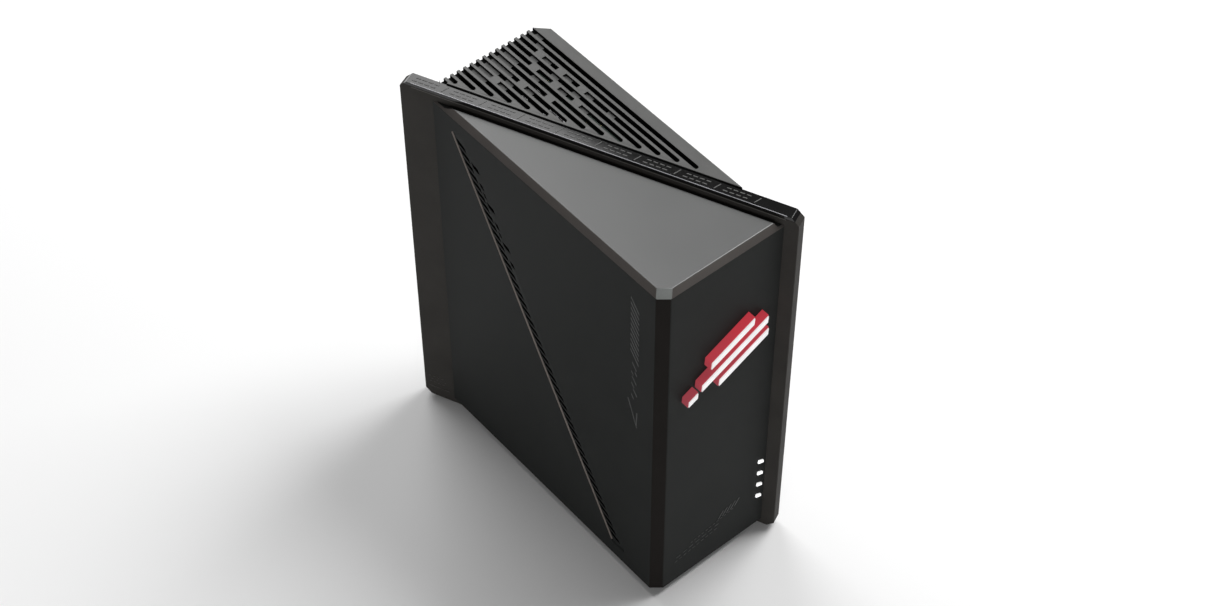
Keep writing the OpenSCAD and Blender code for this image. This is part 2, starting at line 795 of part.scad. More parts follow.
module reset_button() {
    color([0.16, 0.16, 0.16]) centred() {
        pin_y(port_x, panel_y - 4.2, reset_z, 2, 2);
        pin_y(port_x, dome_y + button_travel + 0.4, reset_z, 1.2, panel_y - 4 - dome_y - button_travel - 0.4);
    }
}

module button_switches() {
    color([0.6, 0.6, 0.62]) centred() for (z = [wps_z, led_z, reset_z]) {
        translate([port_x - 3, dome_y - 4.9, z - 3]) cube([board_x - port_x + 3, 4, 6]);
        pin_y(port_x, dome_y - 0.9, z, 1.4, 0.9);
    }
}

// ---------------------------------------------------------------- antennas and leads

module antenna_upper() {
    color([0.85, 0.7, 0.3]) centred() translate([wall, 62, 170]) cube([0.8, 40, 16]);
}

module antenna_lower() {
    color([0.85, 0.7, 0.3]) centred() translate([wall, 88, 30]) cube([0.8, 40, 16]);
}

module antenna_front() {
    color([0.85, 0.7, 0.3]) centred() translate([8, wall, 178]) cube([32, 0.8, 14]);
}

module antenna_rear() {
    color([0.85, 0.7, 0.3]) centred() translate([9, panel_y - 0.8, 126]) cube([15, 0.8, 50]);
}

function spline_at(a, b, c, d, t) =
    0.5 * (2 * b + (c - a) * t + (2 * a - 5 * b + 4 * c - d) * t * t + (3 * b - a - 3 * c + d) * t * t * t);
function smooth_route(p, n) = [
    for (i = [0:len(p) - 2], k = [0:n - 1])
        spline_at(p[max(i - 1, 0)], p[i], p[i + 1], p[min(i + 2, len(p) - 1)], k / n),
    p[len(p) - 1]
];
function unit(v) = v / norm(v);

// Round lead swept along a route, with flat ends
module lead(points, r, steps) {
    sides = 8;
    path = smooth_route(points, steps);
    last = len(path) - 1;
    rings = [
        for (i = [0:last])
            let (
                t = unit(path[min(i + 1, last)] - path[max(i - 1, 0)]),
                u = unit(cross(t, [0.31, 0.27, 0.91])),
                v = cross(t, u)
            )
            for (k = [0:sides - 1]) path[i] + r * (cos(k * 360 / sides) * u + sin(k * 360 / sides) * v)
    ];
    skins = [
        for (i = [0:last - 1], k = [0:sides - 1])
            let (n = (k + 1) % sides)
            [(i + 1) * sides + k, (i + 1) * sides + n, i * sides + n, i * sides + k]
    ];
    first_end = [for (k = [0:sides - 1]) k];
    last_end = [for (k = [0:sides - 1]) last * sides + sides - 1 - k];
    polyhedron(points = rings, faces = concat(skins, [first_end, last_end]));
}

// Small sockets on the main board that the leads plug on to
module lead_sockets() {
    color([0.8, 0.68, 0.38]) centred()
        for (z = socket_z) translate([board_x - 1.3, 60.6, z - 1.6]) cube([1.3, 2.6, 3.2]);
}

module lead_upper() {
    color([0.1, 0.1, 0.1]) centred() lead(upper_route, 0.6, 5);
}

module lead_lower() {
    color([0.1, 0.1, 0.1]) centred() lead(lower_route, 0.6, 5);
}

module lead_front() {
    color([0.1, 0.1, 0.1]) centred() lead(front_route, 0.6, 5);
}

module lead_rear() {
    color([0.1, 0.1, 0.1]) centred() lead(rear_route, 0.6, 5);
}

module lead_lights() {
    color([0.8, 0.1, 0.1]) centred() lead(light_route, 0.9, 5);
}

blade_frame();
blade_cap();
front_casing();
rear_casing();
top_grille();
front_base_cover();
rear_base_cover();
rear_pads();
front_foot();
base_screws();
frame_screws();
port_panel();
emblem_lens();
emblem_caps();
emblem_reflector();
emblem_board();
emblem_leds();
status_light_pipe();
status_board();
main_board();
board_screws();
processor();
memory_chips();
network_chip();
radio_cans();
thermal_pads();
finned_heatsink();
heat_spreader();
heatsink_screws();
network_transformers();
power_coils();
capacitors();
wan_jack();
lan_jack_1();
lan_jack_2();
lan_jack_3();
lan_jack_4();
jack_contacts();
usb_jack();
usb_tongue();
power_inlet();
power_inlet_pin();
power_switch_body();
power_rocker();
wps_button();
led_button();
reset_button();
button_switches();
lead_sockets();
antenna_upper();
antenna_lower();
antenna_front();
antenna_rear();
lead_upper();
lead_lower();
lead_front();
lead_rear();
lead_lights();
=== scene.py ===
"""Finishes, rounded edges and small raised details for an upright wireless router on a diagonal blade."""

import json
import math

import bmesh
import bpy
from bpy.props import FloatProperty, FloatVectorProperty, IntProperty, PointerProperty
from mathutils import Matrix, Vector


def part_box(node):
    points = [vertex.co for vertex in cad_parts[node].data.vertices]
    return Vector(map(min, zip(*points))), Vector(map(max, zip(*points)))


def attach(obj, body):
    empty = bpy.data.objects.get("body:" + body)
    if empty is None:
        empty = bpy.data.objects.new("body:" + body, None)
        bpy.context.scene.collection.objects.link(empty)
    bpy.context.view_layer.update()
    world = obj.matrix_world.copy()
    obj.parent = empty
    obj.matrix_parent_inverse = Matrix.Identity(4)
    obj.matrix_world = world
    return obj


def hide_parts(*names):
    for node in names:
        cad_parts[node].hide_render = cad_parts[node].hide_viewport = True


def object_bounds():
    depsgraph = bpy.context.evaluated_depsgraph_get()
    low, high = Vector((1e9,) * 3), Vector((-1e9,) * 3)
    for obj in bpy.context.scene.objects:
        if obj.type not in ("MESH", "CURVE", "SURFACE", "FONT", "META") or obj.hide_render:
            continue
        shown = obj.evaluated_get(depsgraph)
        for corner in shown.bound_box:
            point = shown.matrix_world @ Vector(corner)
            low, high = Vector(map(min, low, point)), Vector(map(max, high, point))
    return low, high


bl_info = {
    "name": "Upright Wireless Router",
    "version": (1, 0, 0),
    "blender": (4, 5, 0),
    "location": "View3D > Sidebar > Router",
    "description": "Finishes, rounded edges and raised details for a wireless router",
    "category": "Object",
}

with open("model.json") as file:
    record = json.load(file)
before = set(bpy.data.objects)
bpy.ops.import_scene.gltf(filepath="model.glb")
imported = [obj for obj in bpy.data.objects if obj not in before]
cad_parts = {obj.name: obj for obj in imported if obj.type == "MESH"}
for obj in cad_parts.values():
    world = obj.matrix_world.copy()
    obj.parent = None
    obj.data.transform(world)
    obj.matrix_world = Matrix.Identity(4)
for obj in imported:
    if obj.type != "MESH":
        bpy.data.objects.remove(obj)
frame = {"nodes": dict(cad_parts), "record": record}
CAD_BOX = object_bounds()

MM = 0.001
WELD = 1e-6

# ---------------------------------------------------------------- places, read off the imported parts

CASING_LOW, CASING_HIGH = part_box("front_casing")
GRILLE_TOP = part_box("top_grille")[1].z
BLADE_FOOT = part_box("blade_frame")[0].z
PANEL_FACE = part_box("port_panel")[1].y
CAP_LOW, CAP_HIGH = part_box("blade_cap")
EMBLEM_LOW, EMBLEM_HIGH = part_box("emblem_caps")

BLADE_DIR = Vector((CASING_HIGH.x - CASING_LOW.x, CASING_LOW.y - CASING_HIGH.y, 0)).normalized()
BLADE_NORMAL = Vector((-BLADE_DIR.y, BLADE_DIR.x, 0))
BLADE_START = Vector((CASING_LOW.x, CASING_HIGH.y, 0))
JACKS = ("wan_jack", "lan_jack_1", "lan_jack_2", "lan_jack_3", "lan_jack_4")


def along_blade(corner):
    """How far along the blade a point lies, in mm."""
    return (Vector((corner[0], corner[1], 0)) - BLADE_START).dot(BLADE_DIR) / MM


CAP_CORNERS = [v.co.copy() for v in frame["nodes"]["blade_cap"].data.vertices]
CAP_ENDS = [pick(along_blade(corner) for corner in CAP_CORNERS) for pick in (min, max)]
BLADE_T = max((corner - BLADE_START).dot(BLADE_NORMAL) for corner in CAP_CORNERS) / MM

# ---------------------------------------------------------------- sizes of the small details, in mm

# Index of refraction of the soft, barely shiny plastic
SOFT_SHEEN = 1.1

# Height of the sloping band round the top
BAND_H = 3.2

# Pattern along the cap: groups of dashes in two lines, with a slash after each group
CAP_MARGIN = 5.0
CAP_REPEAT = 17.7
DASH_L = 2.0
DASH_W = 0.45
DASH_STEP = 2.9
DASH_COUNT = 4
DASH_LINES = 0.32
SLASH_L = 3.4
SLASH_AT = 13.4

# Slanted stripes on the left face: their middle back from the front, the lowest one's height,
# and their slope
STRIPE_Y = 16.0
STRIPE_Z = 151.0
STRIPE_STEP = 3.2
STRIPE_L = 8.5
STRIPE_SLOPE = math.radians(52.6)

# Shorter stripes below them, as [y, z, length], and the strokes of an arrow, as [y, z, length, slope]
TICKS = (
    (16.0, 145.0, 4.6), (15.0, 141.0, 2.2), (17.2, 140.0, 2.2), (16.0, 136.0, 4.6),
    (16.9, 132.5, 3.0), (15.4, 128.6, 4.2), (17.0, 125.0, 2.6),
)
ARROW = ((16.9, 114.0, 16.5, 70), (14.3, 112.0, 9.0, 92))

# Rows of dashes low on the front face, as [lift, offset, length, count, pitch], on a rising line
FRONT_RISE = math.radians(9)
FRONT_ROWS = ((0.0, 0.0, 1.6, 10, 2.6), (2.6, 1.2, 2.4, 7, 3.8), (5.2, 9.0, 1.2, 12, 2.2))

# Where the front face's rows and its slashes start, as [x, z], and the step between slashes
FRONT_START = (12.0, 14.0)
SLASHES_START = (38.0, 26.0)
SLASH_STEP = 2.4

# Sign dots beside the sockets: their size, pitch and distance from the socket, and the bar's length
DOT = 0.8
DOT_PITCH = 1.6
SIGN_GAP = 3.4
SIGN_BAR = 3.2

# Rows of chips on the main board, as [y, z, count, step in y, step in z]
BOARD_ROWS = (
    (34.0, 84.0, 11, 0.0, 2.4),
    (64.0, 100.0, 9, 0.0, 2.4),
    (36.0, 100.5, 9, 2.8, 0.0),
    (34.0, 55.0, 10, 2.8, 0.0),
    (13.0, 62.5, 6, 2.8, 0.0),
    (13.0, 118.0, 6, 2.8, 0.0),
    (40.0, 18.0, 9, 2.8, 0.0),
    (28.5, 140.0, 12, 0.0, 2.6),
)

# ---------------------------------------------------------------- the stage, in metres and degrees

CAMERA_LENS = 74.17
CAMERA_AT = (-0.4544, -0.5459, 0.9354)
CAMERA_TILT = 40.68
CAMERA_TURN = -40.09
FLOOR_REACH = 6.0
WORLD_GREY = 0.12


def left_point(y, z, out=0.0):
    """A point on the left face, y back from the front and z up from the casing's lower edge, in mm."""
    return Vector((CASING_LOW.x - out * MM, CASING_LOW.y + y * MM, CASING_LOW.z + z * MM))


def front_point(x, z, out=0.0):
    """A point on the front face, x from its left corner and z up from the casing's lower edge, in mm."""
    return Vector((CASING_LOW.x + x * MM, CASING_LOW.y - out * MM, CASING_LOW.z + z * MM))


def blade_point(along, across, height):
    """A point on the blade, along and across it in mm from where the casings' rear corner meets it."""
    spot = BLADE_START + along * MM * BLADE_DIR + across * MM * BLADE_NORMAL
    spot.z = height
    return spot


# ---------------------------------------------------------------- what a user may change


class RouterShape(bpy.types.PropertyGroup):
    """Sizes of the rounded edges and of the raised details."""

    edge_round: FloatProperty(
        name="Edge round",
        description="Rounding of the long outer edges",
        default=0.35 * MM,
        min=0.0,
        max=0.8 * MM,
        unit="LENGTH",
    )
    fine_round: FloatProperty(
        name="Fine edge round",
        description="Rounding of the edges of slots, windows and small parts",
        default=0.15 * MM,
        min=0.0,
        max=0.3 * MM,
        unit="LENGTH",
    )
    mark_height: FloatProperty(
        name="Mark height",
        description="How far the marks on the casing and the blade stand out",
        default=0.16 * MM,
        min=0.05 * MM,
        max=0.3 * MM,
        unit="LENGTH",
    )
    stripe_count: IntProperty(
        name="Side stripes",
        description="Number of slanted stripes on the left face",
        default=11,
        min=4,
        max=12,
    )


class RouterColours(bpy.types.PropertyGroup):
    """Colours of the main finishes."""

    casing: FloatVectorProperty(
        name="Casing",
        description="Front casing and base covers",
        subtype="COLOR",
        default=(0.024, 0.0252, 0.0245),
        min=0.0,
        max=1.0,
    )
    blade: FloatVectorProperty(
        name="Blade",
        description="Sides of the diagonal blade",
        subtype="COLOR",
        default=(0.044, 0.0415, 0.0385),
        min=0.0,
        max=1.0,
    )
    trim: FloatVectorProperty(
        name="Blade cap",
        description="Gloss strip along the blade's top",
        subtype="COLOR",
        default=(0.004, 0.004, 0.004),
        min=0.0,
        max=1.0,
    )
    grille: FloatVectorProperty(
        name="Grille",
        description="Slotted plate on the rear casing",
        subtype="COLOR",
        default=(0.07, 0.07, 0.068),
        min=0.0,
        max=1.0,
    )
    glow: FloatVectorProperty(
        name="Emblem glow",
        description="Light that leaves the emblem's red side walls",
        subtype="COLOR",
        default=(0.6, 0.05, 0.07),
        min=0.0,
        max=1.0,
    )


class RouterStage(bpy.types.PropertyGroup):
    """Brightness of the lamps and the floor."""

    key: FloatProperty(
        name="Rear softbox",
        description="Radiance of the softbox behind",
        default=3.9,
        min=0.0,
        max=60.0,
    )
    top: FloatProperty(
        name="Side softbox",
        description="Radiance of the softbox high on the right",
        default=9.6,
        min=0.0,
        max=60.0,
    )
    fill: FloatProperty(
        name="Front fill",
        description="Radiance of the softbox beside the camera",
        default=2.6,
        min=0.0,
        max=60.0,
    )
    floor: FloatVectorProperty(
        name="Floor",
        description="Colour of the floor",
        subtype="COLOR",
        default=(0.86, 0.86, 0.86),
        min=0.0,
        max=1.0,
    )


# ---------------------------------------------------------------- shader maths


def feed(tree, socket, value):
    """Links a Term to a socket, or sets the socket to a plain value."""
    if isinstance(value, Term):
        tree.links.new(value.output, socket)
    else:
        socket.default_value = value


class Term:
    """A value in a node tree. Its operators add Math nodes."""

    def __init__(self, tree, output):
        self.tree = tree
        self.output = output

    def math(self, operation, *terms):
        node = self.tree.nodes.new("ShaderNodeMath")
        node.operation = operation
        for socket, value in zip(node.inputs, terms):
            feed(self.tree, socket, value)
        return Term(self.tree, node.outputs[0])

    def __add__(self, other):
        return self.math("ADD", self, other)

    def __rsub__(self, other):
        return self.math("SUBTRACT", other, self)

    def __mul__(self, other):
        return self.math("MULTIPLY", self, other)

    def __gt__(self, other):
        return self.math("GREATER_THAN", self, other)

    def __lt__(self, other):
        return self.math("LESS_THAN", self, other)

    def __mod__(self, other):
        return self.math("FLOORED_MODULO", self, other)

    __radd__ = __add__
    __rmul__ = __mul__


class Finish:
    """One material: a Principled shader and the nodes that feed it."""

    def __init__(self, name, **sockets):
        self.material = bpy.data.materials.new(name)
        self.material.use_nodes = True
        self.tree = self.material.node_tree
        self.shader = self.tree.nodes["Principled BSDF"]
        for title, value in sockets.items():
            self.set(title.replace("_", " "), value)
        self.place = self.node("TexCoord", out="Object")

    def set(self, title, value):
        feed(self.tree, self.shader.inputs[title], value)

    def node(self, kind, settings=None, inputs=None, out=0):
        """Adds a node: its settings first, then its sockets, which may hold Terms."""
        node = self.tree.nodes.new("ShaderNode" + kind)
        for title, value in (settings or {}).items():
            setattr(node, title, value)
        for title, value in (inputs or {}).items():
            feed(self.tree, node.inputs[title], value)
        return Term(self.tree, node.outputs[out])

    def noise(self, size, detail=2.0, roughness=0.5):
        """Soft noise with features of about size millimetres, from 0 to 1."""
        inputs = {"Vector": self.place, "Scale": 1 / (size * MM), "Detail": detail, "Roughness": roughness}
        return self.node("TexNoise", {"normalize": True}, inputs)

    def spread(self, value, low, high):
        """Maps noise from about its middle half to low and high, and holds it there."""
        inputs = {"Value": value, "From Min": 0.3, "From Max": 0.7, "To Min": low, "To Max": high}
        return self.node("MapRange", {"clamp": True}, inputs)

    def mixed(self, factor, first, second):
        """A colour between two, each a triple or a Term."""
        node = self.tree.nodes.new("ShaderNodeMix")
        node.data_type = "RGBA"
        feed(self.tree, node.inputs["Factor"], factor)
        for socket, colour in ((node.inputs[6], first), (node.inputs[7], second)):
            feed(self.tree, socket, colour if isinstance(colour, Term) else (*colour, 1.0))
        return Term(self.tree, node.outputs[2])

    def bump(self, height, depth, strength=1.0):
        """Feeds a height from 0 to 1, depth millimetres deep, to the shader's normal."""
        inputs = {"Height": height, "Distance": depth * MM, "Strength": strength}
        self.set("Normal", self.node("Bump", None, inputs, out="Normal"))

    def axis(self, letter):
        """One coordinate of the place, in metres."""
        return self.node("SeparateXYZ", None, {"Vector": self.place}, out=letter)


def scaled(colour, share):
    return tuple(c * share for c in colour)


def tinted(colour, red, green, blue):
    return colour[0] * red, colour[1] * green, colour[2] * blue


# ---------------------------------------------------------------- finishes


def moulded(name, colour, rough=0.5, index=1.45, grain=0.35, depth=0.012, mottle=0.12):
    """Moulded plastic: fine grain in the surface, and a slightly uneven colour and sheen."""
    finish = Finish(name, IOR=index)
    cloud = finish.spread(finish.noise(18.0, detail=3.0), 0.0, 1.0)
    speck = finish.spread(finish.noise(0.6, detail=1.0), 0.0, 1.0)
    blend = cloud * 0.7 + speck * 0.3
    finish.set("Base Color", finish.mixed(blend, scaled(colour, 1 - mottle), scaled(colour, 1 + mottle)))
    finish.set("Roughness", cloud * 0.06 + speck * 0.05 + (rough - 0.055))
    finish.bump(finish.noise(grain, detail=2.0, roughness=0.6), depth)
    return finish.material


def gloss(name, colour, rough=0.08):
    """Gloss plastic with the faint waviness of a moulding and a few dull specks of dust."""
    finish = Finish(name)
    dust = finish.spread(finish.noise(0.8, detail=4.0), 0.0, 1.0)
    haze = finish.spread(finish.noise(25.0), 0.0, 1.0)
    finish.set("Base Color", finish.mixed(haze, colour, scaled(colour, 1.5)))
    finish.set("Roughness", haze * 0.03 + dust * 0.02 + rough)
    finish.bump(finish.noise(6.0, detail=1.0), 0.01)
    return finish.material


def metal(name, colour, rough=0.3, brush=(1.0, 1.0, 14.0)):
    """Plain metal with fine drawn lines along one axis."""
    finish = Finish(name, Metallic=1.0)
    stretched = finish.node("Mapping", None, {"Vector": finish.place, "Scale": brush})
    lines = finish.node("TexNoise", None, {"Vector": stretched, "Scale": 900.0, "Detail": 3.0})
    tarnish = finish.spread(finish.noise(5.0, detail=3.0), 0.0, 1.0)
    finish.set("Base Color", finish.mixed(tarnish, colour, scaled(colour, 0.8)))
    finish.set("Roughness", lines * 0.16 + tarnish * 0.08 + (rough - 0.1))
    finish.bump(lines, 0.006)
    return finish.material


def rubber(name, colour, rough=0.75):
    """Soft rubber with a dusty bloom."""
    finish = Finish(name, Specular_IOR_Level=0.3)
    bloom = finish.spread(finish.noise(4.0, detail=4.0), 0.0, 1.0)
    finish.set("Base Color", finish.mixed(bloom, colour, scaled(colour, 1.6)))
    finish.set("Roughness", bloom * 0.1 + (rough - 0.05))
    finish.bump(finish.noise(0.25, detail=3.0), 0.02)
    return finish.material


def lit(name, colour, light, strength, rough=0.35, unevenness=0.12):
    """Plastic lit from behind, a little brighter where the light source is near."""
    finish = Finish(name, Roughness=rough, Emission_Strength=strength)
    patch = finish.spread(finish.noise(9.0, detail=1.0), 0.0, 1.0)
    finish.set("Base Color", finish.mixed(patch, scaled(colour, 0.9), colour))
    finish.set("Emission Color", finish.mixed(patch, scaled(light, 1 - unevenness), light))
    finish.bump(finish.noise(0.5), 0.006)
    return finish.material


def glowing_wall(name, colour, dim, bright, strength):
    """Clear coloured plastic that glows more towards the emblem's top."""
    finish = Finish(name, Roughness=0.25, Emission_Strength=strength)
    inputs = {"Value": finish.axis("Z"), "From Min": EMBLEM_LOW.z, "From Max": EMBLEM_HIGH.z}
    rise = finish.node("MapRange", {"clamp": True}, inputs)
    patch = finish.spread(finish.noise(9.0, detail=1.0), -0.12, 0.12)
    finish.set("Base Color", finish.mixed(rise, scaled(colour, 0.8), colour))
    finish.set("Emission Color", finish.mixed(rise + patch, dim, bright))
    finish.bump(finish.noise(0.5), 0.006)
    return finish.material


def circuit_board(name, colour):
    """Solder resist over a maze of copper tracks, with bare pads."""
    finish = Finish(name, Specular_IOR_Level=0.6)
    cells = {"Vector": finish.place, "Scale": 260.0, "Randomness": 0.0}
    edge = finish.node("TexVoronoi", {"feature": "DISTANCE_TO_EDGE"}, cells, out="Distance")
    lane = finish.axis("Z") % (0.9 * MM) < 0.35 * MM
    drift = finish.noise(7.0) > 0.5
    track = lane * drift
    pad = (edge < 0.06) * (finish.noise(3.0) > 0.62)
    shaded = finish.mixed(track, colour, scaled(colour, 1.9))
    finish.set("Base Color", finish.mixed(pad, shaded, (0.62, 0.5, 0.25)))
    finish.set("Roughness", 0.42 - pad * 0.15)
    finish.set("Metallic", pad)
    finish.bump(track * 0.6 + pad, 0.03)
    return finish.material


def satin_top(name, colour):
    """The casing's top plate: the same plastic with a smoother, slightly silvery satin."""
    finish = Finish(name, Specular_IOR_Level=1.0)
    flow = finish.spread(finish.noise(30.0, detail=2.0), 0.0, 1.0)
    speck = finish.noise(0.5, detail=2.0)
    finish.set("Base Color", finish.mixed(flow, scaled(colour, 1.0), scaled(colour, 1.2)))
    finish.set("Roughness", flow * 0.04 + speck * 0.04 + 0.34)
    finish.bump(finish.noise(0.3, detail=2.0, roughness=0.6), 0.008)
    return finish.material


# ---------------------------------------------------------------- making and placing pieces


def linked(name, mesh):
    piece = bpy.data.objects.new(name, mesh)
    bpy.context.scene.collection.objects.link(piece)
    return piece


def settled(piece):
    """Applies every modifier, so that the piece is one plain mesh."""
    evaluated = piece.evaluated_get(bpy.context.evaluated_depsgraph_get())
    mesh = bpy.data.meshes.new_from_object(evaluated)
    mesh.name = piece.name
    piece.modifiers.clear()
    old, piece.data = piece.data, mesh
    bpy.data.meshes.remove(old)
    return piece


def finished(piece, material, body="root"):
    """Gives a piece its material, and makes it ride on its body."""
    if material is not None:
        piece.data.materials.clear()
        piece.data.materials.append(material)
    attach(piece, body)
    return piece


def body_of(node):
    bodies = frame["record"]["behaviour"]["bodies"]
    return next(name for name, nodes in bodies.items() if node in nodes)


def without_membranes(shell):
    """Removes pairs of faces that lie back to back with nothing between them, where two openings meet."""
    groups = {}
    for face in shell.faces:
        groups.setdefault(frozenset(face.verts), []).append(face)
    pairs = [face for group in groups.values() if len(group) > 1 for face in group]
    bmesh.ops.delete(shell, geom=pairs, context="FACES")


def softened(node, wide, fine, long_edge=12 * MM, segments=2):
    """A welded copy of a part with its long edges rounded by wide and its short ones by fine."""
    shell = bmesh.new()
    shell.from_mesh(frame["nodes"][node].data)
    bmesh.ops.remove_doubles(shell, verts=shell.verts, dist=WELD)
    bmesh.ops.join_triangles(
        shell,
        faces=shell.faces,
        angle_face_threshold=math.radians(0.5),
        angle_shape_threshold=math.radians(180),
    )
    without_membranes(shell)
    weight = shell.edges.layers.float.new("bevel_weight_edge")
    for edge in shell.edges:
        sharp = len(edge.link_faces) == 2 and edge.calc_face_angle() > math.radians(28)
        if sharp:
            edge[weight] = 1.0 if edge.calc_length() > long_edge else fine / wide
    mesh = bpy.data.meshes.new(node + "_rounded")
    shell.to_mesh(mesh)
    shell.free()
    mesh.shade_smooth()
    piece = linked(node + "_rounded", mesh)
    bevel = piece.modifiers.new("rounded edges", "BEVEL")
    bevel.width = wide
    bevel.segments = segments
    bevel.limit_method = "WEIGHT"
    bevel.use_clamp_overlap = False
    bevel.miter_outer = "MITER_ARC"
    # Keeps the large faces flat in the light, so that only the rounded edges turn
    piece.modifiers.new("flat faces", "WEIGHTED_NORMAL").weight = 100
    return settled(piece)


def dress(node, material, wide, fine):
    """Puts a rounded copy of a part in its place."""
    piece = finished(softened(node, wide, fine), material, body_of(node))
    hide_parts(node)
    return piece


def faced(piece, material, chosen):
    """Gives the faces that a test chooses a material of their own."""
    piece.data.materials.append(material)
    slot = len(piece.data.materials) - 1
    for face in piece.data.polygons:
        if chosen(face.normal, face.center):
            face.material_index = slot


def paint(node, material):
    """Gives a part that keeps its own mesh its material."""
    mesh = frame["nodes"][node].data
    mesh.materials.clear()
    mesh.materials.append(material)


# Signs of a rectangle's corners, in order round it
CORNERS = ((-1, -1), (1, -1), (1, 1), (-1, 1))


def skewed_bar(length, width, height, skew=0.0, chamfer=0.0):
    """A low bar with sloping sides, flat on its back, with its ends sheared by skew."""
    half, side, inner = length / 2, width / 2, min(chamfer, width / 3)
    mesh = bmesh.new()
    rings = []
    for inset, z in ((0.0, 0.0), (0.0, height - inner), (inner, height)):
        corners = []
        for x, y in CORNERS:
            shift = skew * y * (side - inset)
            corners.append(mesh.verts.new((x * (half - inset) + shift, y * (side - inset), z)))
        rings.append(corners)
    for lower, upper in zip(rings, rings[1:]):
        for k in range(4):
            mesh.faces.new((lower[k], lower[(k + 1) % 4], upper[(k + 1) % 4], upper[k]))
    mesh.faces.new(rings[-1])
    mesh.faces.new(reversed(rings[0]))
    shape = bpy.data.meshes.new("bar")
    mesh.to_mesh(shape)
    mesh.free()
    return linked("bar", shape)


def framed_window(length, width, rim, height):
    """A flat rectangular ring with a sloping outer edge, round an opening of length by width."""
    mesh = bmesh.new()
    rings = []
    for out, z in ((0.0, 0.0), (0.0, height), (rim * 0.6, height), (rim, height * 0.4), (rim, 0.0)):
        half, side = length / 2 + out, width / 2 + out
        rings.append([mesh.verts.new((x * half, y * side, z)) for x, y in CORNERS])
    for inner, outer in zip(rings, rings[1:] + rings[:1]):
        for k in range(4):
            mesh.faces.new((inner[k], inner[(k + 1) % 4], outer[(k + 1) % 4], outer[k]))
    bmesh.ops.recalc_face_normals(mesh, faces=mesh.faces)
    shape = bpy.data.meshes.new("ring")
    mesh.to_mesh(shape)
    mesh.free()
    return linked("ring", shape)


# ---------------------------------------------------------------- geometry nodes for what repeats


def row_tree():
    """A tree that repeats a shape along a straight row."""
    tree = bpy.data.node_groups.new("Row of shapes", "GeometryNodeTree")
    face = tree.interface
    face.new_socket("Geometry", in_out="OUTPUT", socket_type="NodeSocketGeometry")
    inputs = (
        ("Shape", "NodeSocketObject"),
        ("Count", "NodeSocketInt"),
        ("Start", "NodeSocketVector"),
        ("Step", "NodeSocketVector"),
        ("Turn", "NodeSocketRotation"),
        ("Material", "NodeSocketMaterial"),
    )
    for title, kind in inputs:
        face.new_socket(title, in_out="INPUT", socket_type=kind)
    nodes, links = tree.nodes, tree.links
    entry = nodes.new("NodeGroupInput")
    line = nodes.new("GeometryNodeMeshLine")
    line.mode = "OFFSET"
    links.new(entry.outputs["Count"], line.inputs["Count"])
    links.new(entry.outputs["Start"], line.inputs["Start Location"])
    links.new(entry.outputs["Step"], line.inputs["Offset"])
    info = nodes.new("GeometryNodeObjectInfo")
    links.new(entry.outputs["Shape"], info.inputs["Object"])
    copies = nodes.new("GeometryNodeInstanceOnPoints")
    links.new(line.outputs["Mesh"], copies.inputs["Points"])
    links.new(info.outputs["Geometry"], copies.inputs["Instance"])
    links.new(entry.outputs["Turn"], copies.inputs["Rotation"])
    real = nodes.new("GeometryNodeRealizeInstances")
    links.new(copies.outputs["Instances"], real.inputs["Geometry"])
    painted = nodes.new("GeometryNodeSetMaterial")
    links.new(real.outputs["Geometry"], painted.inputs["Geometry"])
    links.new(entry.outputs["Material"], painted.inputs["Material"])
    leave = nodes.new("NodeGroupOutput")
    links.new(painted.outputs["Geometry"], leave.inputs["Geometry"])
    return tree


def repeated(name, shape, count, start, step, turn, material=None):
    """Repeats a small shape along a row, as one plain mesh. The shape is used up."""
    tree = bpy.data.node_groups.get("Row of shapes") or row_tree()
    piece = linked(name, bpy.data.meshes.new(name))
    modifier = piece.modifiers.new("row", "NODES")
    modifier.node_group = tree
    values = {
        "Shape": shape,
        "Count": count,
        "Start": tuple(start),
        "Step": tuple(step),
        "Turn": tuple(turn.to_euler()),
        "Material": material,
    }
    for item in tree.interface.items_tree:
        if item.in_out == "INPUT" and values[item.name] is not None:
            modifier[item.identifier] = values[item.name]
    settled(piece)
    old = shape.data
    bpy.data.objects.remove(shape)
    bpy.data.meshes.remove(old)
    return piece


def row(name, shape, count, start, step, turn, material, body="root"):
    """A repeated shape as a finished piece that rides on a body."""
    return finished(repeated(name, shape, count, start, step, turn, material), None, body)


def facing(outward, run):
    """The turn that takes a shape's z to outward and its x to run."""
    z = Vector(outward).normalized()
    x = Vector(run).normalized()
    return Matrix((x, z.cross(x), z)).transposed().to_quaternion()


# ---------------------------------------------------------------- operators


